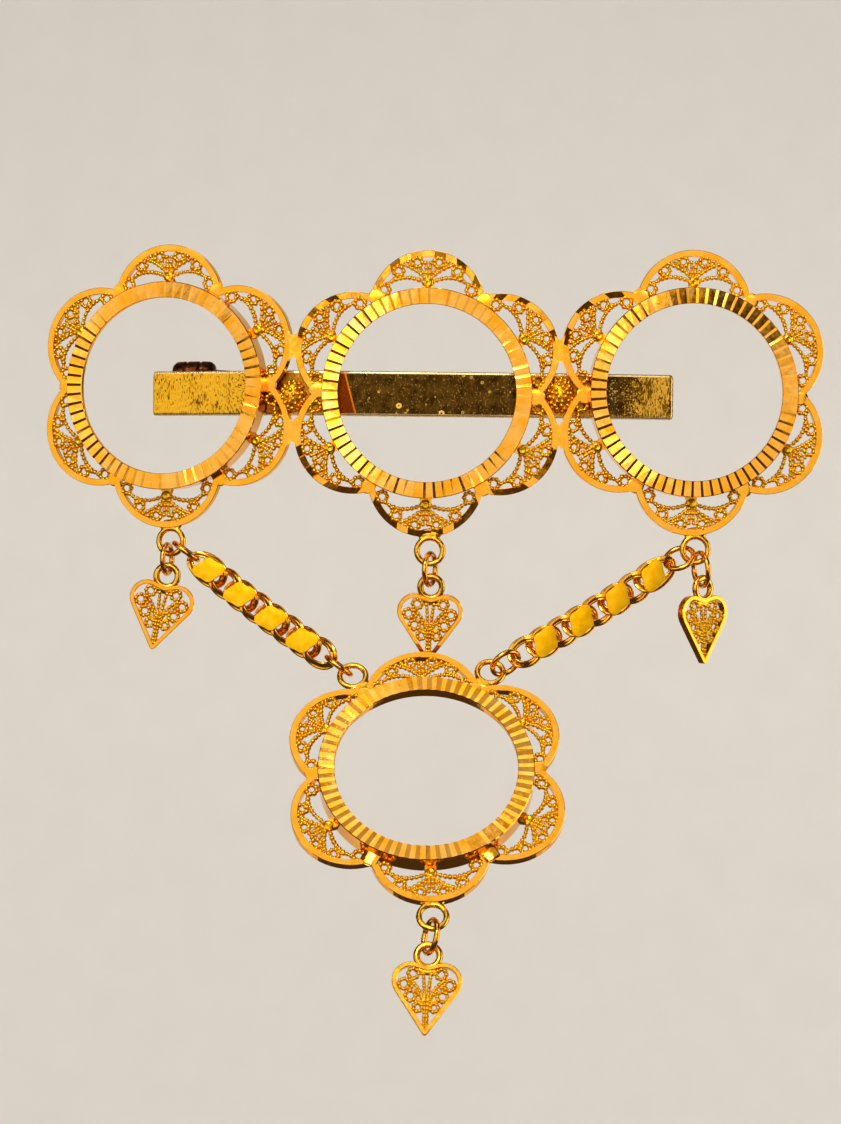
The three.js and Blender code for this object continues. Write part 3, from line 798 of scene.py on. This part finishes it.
def bar_run(back, step=0.14):
    """The bar's plan line from its left end to its right end."""
    left_end, left = bar_point(-1, TURN_LEFT, back, BAR_LEFT), bar_point(-1, TURN_LEFT, back, 0)
    right, right_end = bar_point(1, TURN_RIGHT, back, 0), bar_point(1, TURN_RIGHT, back, BAR_RIGHT)
    run = []
    for a, b in ((left_end, left), (left, right), (right, right_end)):
        count = max(2, round((b - a).length / step))
        run += [a.lerp(b, i / count) for i in range(count)]
    return run + [right_end]


BAR_CORNER = 0.3


def drawn_in(reach):
    """How far the bar's rounded corner has drawn in, at `reach` from its end."""
    return BAR_CORNER * (1 - sqrt(max(0.0, 1 - (1 - min(reach / BAR_CORNER, 1)) ** 2)))


def rolled_relief(x, z):
    """The rolled face's low waves and its pits, which fade out towards the bar's middle."""
    spot = Vector((x, z, 0))
    middle = min(max((13.5 - abs(x)) / 3, 0), 1)
    pits = noise.noise(spot * 2.6) * 0.016 + noise.noise(spot * 5.5) * 0.012
    return pits * (1 - 0.9 * middle) + noise.noise(spot * 0.25) * 0.03


def bar_shape():
    """The strip behind the row, its corners rounded and its face uneven as rolled."""
    rows, set_back, chamfer = 40, 0.05, 0.22
    front, back = bar_run(BAR_GAP), bar_run(BAR_GAP + BAR_DEPTH)
    start, end = front[0], front[min(len(front), len(back)) - 1]
    sections = []
    for f, b in zip(front, back):
        inward = (b - f).normalized()
        narrow = drawn_in(min((f - start).length, (f - end).length))
        half = BAR_HEIGHT / 2 - narrow * 1.4
        section = []
        for j in range(rows + 1):
            z = -half + 2 * half * j / rows
            near = half - abs(z)
            relief = rolled_relief(f.x, z) * min(near / BAR_CORNER, 1)
            section.append(f + inward * (drawn_in(near) + narrow + set_back + relief) + UP * z)
        for z, inset in ((half, chamfer), (half - chamfer, 0.0), (chamfer - half, 0.0), (-half, chamfer)):
            section.append(b - inward * (inset + narrow) + UP * z)
        sections.append(section)
    return rod(sections)


# The granulated domes over the two joints of the row: half their width and height, and how proud they are.
ROSETTE_BACK = -1.2
ROSETTES = [
    {"name": "left", "x": -JOINT_X - 0.1, "z": -0.4, "wide": 1.35, "high": 1.7, "proud": 1.0, "seed": 4},
    {"name": "right", "x": JOINT_X, "z": 0.1, "wide": 1.45, "high": 1.95, "proud": 1.15, "seed": 9},
]


def rosette(name, x, z, wide, high, proud, seed):
    place = moved(x, ROSETTE_BACK, z) @ UPRIGHT @ Matrix.Diagonal((wide, high, 1, 1))
    core = mesh_piece("core", dome(1.0, proud, place, rings=7, sides=28))
    made = grow(core, DOME_TREE, f"rosette_{name}", SCALE, granule=0.6, spacing=0.5, seed=seed,
                gold=GRANULATED)
    finish_piece(made, GRANULATED, "cast_gold")


def gusset_shape(half_long, half_gap, notch, layers):
    """Solder between two rims that curve away from each other, with a notch at its top and bottom."""
    side = []
    for i in range(13):
        z = -half_long + 2 * half_long * i / 12
        side.append(Vector((half_gap + PETAL_RADIUS - sqrt(PETAL_RADIUS ** 2 - z ** 2), z, 0)))
    top = Vector((0, half_long - notch, 0))
    outline = side + [top] + [Vector((-p.x, p.y, 0)) for p in reversed(side)] + [-top]
    return rod([[Vector((p.x, p.y, h)) for p in outline] for h in layers])


def joint_solder():
    """Flat gussets that run the rims of two flowers together, above and below each rosette."""
    gusset = gusset_shape(half_long=1.75, half_gap=0.42, notch=0.55, layers=(-0.5, 0.015))
    shapes = []
    for side, lift in ((-1, 0.4), (1, 0.25)):
        for up in (-1, 1):
            spot = moved(side * JOINT_X - 0.12, ROW_BACK - BORDER_DEPTH, lift + up * PETAL_OUT / 2) @ UPRIGHT
            shapes.append(put(gusset, spot))
    finish_piece(mesh_piece("joint_gussets", gather(shapes), SCALE, 50), RIM_GOLD, "gold")


# The pin behind the bar: how far its barrel and its catch stand back, outwards from a joint and up.
BARREL_BACK, BARREL_ALONG, BARREL_UP = 1.4, 13.2, 2.6
CATCH_BACK, CATCH_ALONG = 1.1, 10.2
CATCH_HALF_WIDE, CATCH_HALF_DEEP, CATCH_HALF_HIGH = 1.5, 1.1, 1.7
STEM_RADIUS, STEM_TAPER = 0.55, 0.2
# Places along the barrel, each with its radius, mirrored about its middle.
BARREL_HALF = [(0.6, 1.38), (0.85, 1.15), (1.1, 1.38), (2.1, 1.32), (2.45, 1.05), (2.6, 0.5)]


def pin_shape():
    """The pin: a hinge barrel of three knuckles, a tapered stem and the block that catches its tip."""
    back = 2 * BAR_GAP + BAR_DEPTH
    barrel_at = bar_point(-1, TURN_LEFT, back + BARREL_BACK, BARREL_ALONG) + UP * BARREL_UP
    catch_at = bar_point(1, TURN_RIGHT, back + CATCH_BACK, CATCH_ALONG)
    along = Matrix.Rotation(radians(-TURN_LEFT), 3, "Z") @ Vector((1, 0, 0))
    profile = [(-s, r) for s, r in reversed(BARREL_HALF)] + BARREL_HALF
    barrel = rod([circle_section(barrel_at + along * s, UP, along.cross(UP), r, 24) for s, r in profile])
    start = barrel_at + Vector((0, 0.7, 0))
    run = catch_at - start
    side = run.normalized().cross(UP)
    stem = rod([circle_section(start + run * t, side, UP, STEM_RADIUS - STEM_TAPER * t ** 3, 14)
                for t in (0, 0.25, 0.5, 0.75, 0.9, 1)])
    deep, high, cut = CATCH_HALF_DEEP, CATCH_HALF_HIGH, 0.2
    corners = [(-deep, cut - high), (-deep, high - cut), (cut - deep, high), (deep - cut, high),
               (deep, high - cut), (deep, cut - high), (deep - cut, -high), (cut - deep, -high)]
    block = rod([[Vector((x, y, z)) for y, z in corners] for x in (-CATCH_HALF_WIDE, CATCH_HALF_WIDE)])
    return gather([barrel, stem, put(block, Matrix.Translation(catch_at) @ turned(TURN_RIGHT, "Z"))])


def row_fittings():
    finish_piece(mesh_piece("back_bar_strip", bar_shape(), SCALE, 35), BAR_GOLD, "cast_gold", "back_bar")
    for row in ROSETTES:
        rosette(**row)
    joint_solder()
    finish_piece(mesh_piece("pin_and_catch", pin_shape(), SCALE, 35), PIN_STEEL, "pin_gold", "pin_clasp")


# ---- hearts ----

# A heart's beaded arms and rings, in the same way, sideways and up from its tip.
HEART_ARMS = [
    ((0.13, 0.95), (0.14, 2.6), (0.16, 4.4)),
    ((0.2, 4.2), (0.28, 5.6), (0.42, 6.95)),
    ((0.3, 4.1), (0.95, 5.3), (1.75, 6.1)),
    ((0.5, 4.3), (0.85, 4.7), (1.15, 5.0)),
    ((0.4, 3.85), (0.75, 3.95), (1.2, 4.15)),
    ((0.4, 3.5), (0.55, 3.7), (1.1, 3.8)),
    ((0.5, 6.95), (0.7, 6.95), (0.95, 7.05)),
    ((1.6, 5.45), (1.75, 5.7), (1.85, 6.2)),
]
HEART_LOOPS = [(1.52, 6.95, 0.56), (2.5, 5.75, 0.56), (1.75, 4.45, 0.56), (0.9, 3.2, 0.46)]
HEART_LOBE = {"side": 1.8, "up": 6.15, "radius": 2.05}
HEART_SLANT = radians(34.4)  # a side's lean from upright, which makes it graze its lobe
HEART_TIP = {"up": 0.52, "radius": 0.35}
HEART_NOTCH = 7.75
HEART_WIRE_HEIGHT = 0.12
HEART_FOOT = {"down": 1.65, "half_wide": 1.55, "half_high": 0.55, "thick": 0.34}


def arc(side, up, radius, start, stop, steps):
    turns = [start + (stop - start) * i / steps for i in range(steps + 1)]
    return [Vector((side + radius * cos(a), up + radius * sin(a))) for a in turns]


def heart_line(inset):
    """The heart's outline drawn `inset` inside its edge, from the tip up the right side and down the left."""
    tip_radius = max(HEART_TIP["radius"] - inset, 0)
    tip_up = HEART_TIP["up"] + max(inset - HEART_TIP["radius"], 0) / sin(HEART_SLANT)
    right = arc(0, tip_up, tip_radius, -pi / 2, -HEART_SLANT, 4)
    lobe_radius = HEART_LOBE["radius"] - inset
    lobe = arc(HEART_LOBE["side"], HEART_LOBE["up"], lobe_radius, -HEART_SLANT, radians(112), 18)
    right += [right[-1].lerp(lobe[0], i / 8) for i in range(1, 8)] + lobe
    notch = Vector((0, HEART_NOTCH - 1.05 * inset))
    return right + [notch] + [Vector((-p.x, p.y)) for p in reversed(right)]


def heart_rim():
    """The smooth flat strip round a heart, its edges eased."""
    wide, depth, edge = 0.5, 0.4, 0.06
    rings = [(0.0, depth - edge), (edge, depth), (wide - edge, depth), (wide, depth - edge),
             (wide, -depth), (0.0, -depth)]
    lines = [[Vector((p.x, p.y, h)) for p in heart_line(inset)] for inset, h in rings]
    return sweep([list(section) for section in zip(*lines)])


# Each heart's eye and ring, with the way it hangs, in millimetres and degrees.
HEARTS = [
    {"name": "left", "eye": eye_at("left"), "radius": 1.72, "shift": -0.42, "turn": 14, "swing": -11},
    {"name": "middle", "eye": eye_at("middle"), "radius": 1.86, "shift": -0.1, "turn": 21, "swing": -2,
     "lean": 4, "tilt": -15, "pitch": -8},
    {"name": "right", "eye": eye_at("right"), "radius": 1.95, "shift": 0.45, "turn": -20, "swing": 1,
     "lean": 6, "spin": 42},
    {"name": "bottom", "eye": eye_at("drop", 2), "radius": 1.86, "turn": -20, "swing": -2,
     "lean": -6, "tilt": 20, "pitch": 22},
]


def ring_piece(node, place, radius, seam):
    made = mesh_piece(f"{node}_wire", wire_ring(radius, RING_WIRE, seam), SCALE @ place, 60)
    finish_piece(made, WIRE_GOLD, "bright_gold", node)


def heart_drop(name, eye, radius, turn, swing, shift=0, lean=0, tilt=0, pitch=0, spin=0):
    """A heart on its ring, which hangs `shift` along from its eye and leans sideways and forwards."""
    toward = Matrix.Rotation(radians(-tilt), 3, "X") @ (Matrix.Rotation(radians(lean), 3, FRONT) @ -UP)
    extra = radius - RING_RADIUS
    ring = ring_place(eye + Vector((shift, 0, 0)), toward, turn, RING_REACH + extra)
    ring_piece(f"heart_ring_{name}", ring, radius, 0.3)
    hung = Matrix.Translation(ring.translation + toward * (HEART_REACH + extra))
    place = SCALE @ hung @ turned(spin, "Z") @ turned(-pitch, "X") @ UPRIGHT @ turned(swing, "Z")
    place = place @ moved(0, -HEART_UP)
    node = f"heart_{name}"
    finish_piece(mesh_piece(f"{node}_rim", heart_rim(), place, 40), RIM_GOLD, "gold", node)
    wires = wire_guides(HEART_ARMS, HEART_LOOPS, 0, HEART_WIRE_HEIGHT)
    filigree(node, wires, HEART_GRAINS, place, copies=1, seed=2)
    loop = footed_loop(moved(0, HEART_UP), HEART_EYE_RADIUS, HEART_EYE_WIRE, HEART_FOOT)
    finish_piece(fused(f"{node}_loop", loop, place, voxel=0.1, rounds=5), SOLDER, "gold")


# ---- chains ----

CHAINS = [
    {"side": "left", "bottom": eye_at("drop", 0), "turn": 0, "shift": 0.2, "reach": 2.1},
    {"side": "right", "bottom": eye_at("drop", 1), "turn": -40, "shift": -0.2, "reach": 2.0},
]
FIRST_REACH, LAST_REACH = 2.08, 1.15  # from an end ring's wire to the middle of the link beside it


def twisted_path(share, start_long):
    a = 2 * pi * share
    long = start_long if cos(a) < 0 else LINK_LONG
    return Vector((long * cos(a), LINK_WIDE * sin(a), LINK_RISE * sin(2 * a)))


def link_shape(start_long=LINK_LONG):
    """An open link of two round wires joined by a sunken web, twisted so that it lies flat in the chain."""
    steps, lean, wire = 44, radians(34), 0.15
    outline = []
    for x, start in ((0.27, -160), (-0.42, 20)):
        spokes = [radians(start + 40 * j) for j in range(9)]
        outline += [(x + wire * cos(a), wire * sin(a)) for a in spokes]
    sections = []
    for i in range(steps):
        t = i / steps
        middle = twisted_path(t, start_long)
        tangent = (twisted_path(t + 0.001, start_long) - twisted_path(t - 0.001, start_long)).normalized()
        out = Vector((middle.x, middle.y, 0))
        out = (out - tangent * out.dot(tangent)).normalized()
        across = tangent.cross(out)
        u, v = out * cos(lean) + across * sin(lean), across * cos(lean) - out * sin(lean)
        sections.append([middle + u * x + v * y for x, y in outline])
    return sweep(sections)


def plate_shape():
    """The satin plate on a link: a waisted diamond set askew, slightly pillowed, its edge eased."""
    outline = []
    for a in round_turns(48):
        reach = (1 - 0.19 * sin(2 * a) ** 2) / sqrt((cos(a) / PLATE_LONG) ** 2 + (sin(a) / PLATE_WIDE) ** 2)
        a += radians(PLATE_TURN)
        outline.append(Vector((reach * cos(a), reach * sin(a))))
    layers = [(0.96, 0.8), (1.0, 0.86), (1.0, 1.0), (0.975, 1.07), (0.7, 1.1), (0.35, 1.115)]
    return rod([[Vector((p.x * s, p.y * s, h)) for p in outline] for s, h in layers])


def marked_places(spots):
    """A point for each link, with the link's turn."""
    mesh = bpy.data.meshes.new("places")
    mesh.from_pydata([tuple(spot.translation) for spot in spots], [], [])
    lie = mesh.attributes.new("lie", "FLOAT_VECTOR", "POINT")
    for i, spot in enumerate(spots):
        lie.data[i].vector = spot.to_euler("XYZ")
    return in_scene("places", mesh)


def chain_spots(start, end):
    """Each link's place on the slightly slack line between two rings, plate links first."""
    run = end - start
    first, last = RING_RADIUS + FIRST_REACH, RING_RADIUS + LAST_REACH
    along, length = run.normalized(), run.length
    pitch = (length - first - last) / (CHAIN_LINKS - 1)

    def on_line(s):
        return start + along * s - UP * CHAIN_SLACK * sin(pi * s / length)

    spots = []
    for i in range(CHAIN_LINKS):
        s = first + i * pitch
        tangent = (on_line(s + 0.1) - on_line(s - 0.1)).normalized()
        facing = (FRONT - tangent * FRONT.dot(tangent)).normalized()
        basis = Matrix((tangent, facing.cross(tangent), facing)).transposed()
        spots.append(Matrix.Translation(on_line(s)) @ basis.to_4x4())
    return spots


def link_row(name, shape, soft_angle, spots, gold, slot, *nodes):
    """One kind of link, set at its places along a chain."""
    pattern = mesh_piece("pattern", shape, None, soft_angle)
    made = grow(marked_places(spots), LINK_TREE, name, SCALE, link=pattern, gold=gold)
    finish_piece(made, gold, slot, *nodes)
    bpy.data.objects.remove(pattern)


def chain(side, bottom, turn, shift, reach):
    """A chain from the eye of the flower on that side down to one of the drop's upper eyes."""
    start = eye_at(side) + Vector((shift, 0, 0))
    toward = bottom - start
    upper, lower = ring_place(start, toward, turn, reach), ring_place(bottom, -toward, turn, RING_REACH)
    ring_piece(f"chain_ring_{side}_top", upper, RING_RADIUS, 0.62)
    ring_piece(f"chain_ring_{side}_bottom", lower, RING_RADIUS, 0.2)
    spots = chain_spots(upper.translation, lower.translation)
    name = f"chain_{side}"
    numbers = range(1, CHAIN_LINKS // 2 + 1)
    plates, links = [[f"{name}_{kind}_{i}" for i in numbers] for kind in ("plate", "link")]
    link_row(f"{name}_plate", plate_shape(), 40, spots[0::2], PLATE_GOLD, "bright_gold", *plates)
    link_row(f"{name}_first", link_shape(END_LINK_LONG), 60, spots[:1], WIRE_GOLD, "bright_gold")
    link_row(f"{name}_rest", link_shape(), 60, spots[2::2], WIRE_GOLD, "bright_gold")
    link_row(f"{name}_open", link_shape(), 60, spots[1::2], WIRE_GOLD, "rosy_gold", *links)


for flower in PLACES:
    coin_frame(flower)
row_fittings()
for row in HEARTS:
    heart_drop(**row)
for row in CHAINS:
    chain(**row)


# ---- camera, stage and light ----

AIM = Vector((-0.52, -2.2, -19.71)) * MM
VIEW_AWAY, VIEW_HEIGHT, VIEW_ROLL = 350, 131.5, -0.65


def camera():
    """Level with the brooch, square to it and rolled a little."""
    lens = bpy.data.cameras.new("camera")
    lens.sensor_fit = "VERTICAL"
    lens.sensor_height = 36
    lens.lens = lens.sensor_height * VIEW_AWAY / VIEW_HEIGHT
    view = in_scene("camera", lens)
    view.location = AIM + FRONT * VIEW_AWAY * MM
    view.rotation_euler = (pi / 2, radians(VIEW_ROLL), 0)
    bpy.context.scene.camera = view


def pale_paper():
    """Matt pale paper with a hardly visible cloudiness."""
    paper, tree, base, spot = start_material("pale_paper", 0.9, metallic=0.0)
    cloud = speckle(tree, spot, 1000 / 60, 2.0)
    tree.links.new(ramped(tree, cloud, "#E9E6E1", "#EFECE8"), base.inputs["Base Color"])
    return paper


def sweep_backdrop():
    """A pale paper sweep well behind and below the brooch, in metres."""
    near, low, bend, half_wide, top = 0.3, -0.4, 0.4, 0.7, 2.0
    curve = [pi / 2 * i / 12 for i in range(13)]
    profile = [(0.5 + bend * sin(a), low + bend * (1 - cos(a))) for a in curve]
    profile = [(near, low), *profile, (0.5 + bend, top)]
    points = [(x, y, z) for y, z in profile for x in (-half_wide, half_wide)]
    faces = [[2 * i, 2 * i + 1, 2 * i + 3, 2 * i + 2] for i in range(len(profile) - 1)]
    mesh = bpy.data.meshes.new("backdrop")
    mesh.from_pydata(points, [], faces)
    mesh.shade_smooth()
    mesh.materials.append(pale_paper())
    in_scene("backdrop", mesh)


# Soft panels: height and bearing to the right in degrees, as seen from the brooch, with sizes in
# metres. Two more behind it light only the paper.
PANELS = {
    "front": {"height": 12, "bearing": 4, "away": 0.9, "wide": 0.6, "tall": 0.8, "bright": 0.74},
    "front_left": {"height": 10, "bearing": -21, "away": 0.9, "wide": 0.22, "tall": 0.62, "bright": 0.54},
    "left": {"height": 9, "bearing": -52, "away": 0.9, "wide": 0.76, "tall": 0.62, "bright": 0.77},
    "right": {"height": 0, "bearing": 86, "away": 0.8, "wide": 0.6, "tall": 0.7, "bright": 1.7},
    "low": {"height": -18, "wide": 0.16, "tall": 0.1, "bright": 0.8},
    "brow": {"height": 40, "away": 0.75, "wide": 0.7, "tall": 0.1, "bright": 0.7},
    "sky_low": {"height": 52, "wide": 0.6, "tall": 0.2, "bright": 0.32},
    "sky": {"height": 67, "wide": 0.14, "tall": 0.18, "bright": 0.8},
    "sky_left": {"height": 67, "side": -0.17, "wide": 0.2, "tall": 0.2, "bright": 0.8},
    "sky_right": {"height": 67, "side": 0.17, "wide": 0.2, "tall": 0.18, "bright": 0.42},
    "crown": {"height": 82, "wide": 0.5, "tall": 0.17, "bright": 1.25},
    "key": {"height": 41, "bearing": -18, "away": 0.8, "wide": 0.36, "tall": 0.16, "bright": 9.5},
    "window": {"height": 12.5, "bearing": -2, "wide": 0.22, "tall": 0.075, "bright": 3.6},
    "window_left": {"height": 12.5, "bearing": -45, "wide": 0.17, "tall": 0.075, "bright": 0.5},
    "window_right": {"height": 13.5, "bearing": 21, "wide": 0.12, "tall": 0.06, "bright": 1.6},
}


def panel(name, spot, way, wide, tall, bright):
    """A soft panel at `spot` whose lit face looks back along `way`. It isn't seen itself."""
    light = bpy.data.lights.new(name, "AREA")
    light.shape = "RECTANGLE"
    light.size, light.size_y = wide, tall
    light.energy = 4 * wide * tall * bright
    light.color = (1.0, 0.96, 0.9)
    lamp = in_scene(name, light)
    lamp.location = spot
    lamp.rotation_mode = "QUATERNION"
    lamp.rotation_quaternion = way.to_track_quat("Z", "Y")
    lamp.visible_camera = False


def panel_round_brooch(name, height, wide, tall, bright, bearing=0, away=0.7, side=0):
    b, e = radians(bearing), radians(height)
    way = Vector((sin(b) * cos(e), -cos(b) * cos(e), sin(e)))
    panel(name, AIM + way * away + Vector((side, 0, 0)), way, wide, tall, bright)


def soft_panels():
    for name, row in PANELS.items():
        panel_round_brooch(name, **row)
    for name, x in (("paper_left", -0.36), ("paper_right", 0.36)):
        panel(name, Vector((x, 0.22, 0)), FRONT, 0.3, 0.8, 1.7)


def room_light():
    """A dim room round the panels, pale where it is seen directly."""
    world = bpy.data.worlds.new("room")
    world.use_nodes = True
    tree = world.node_tree
    seen = add(tree, "ShaderNodeLightPath").outputs["Is Camera Ray"]
    tree.links.new(mixed(tree, seen, "#463C30", "#E4E1DC"), tree.nodes["Background"].inputs["Color"])
    bpy.context.scene.world = world


camera()
sweep_backdrop()
soft_panels()
room_light()
bpy.context.scene.view_settings.view_transform = "Standard"
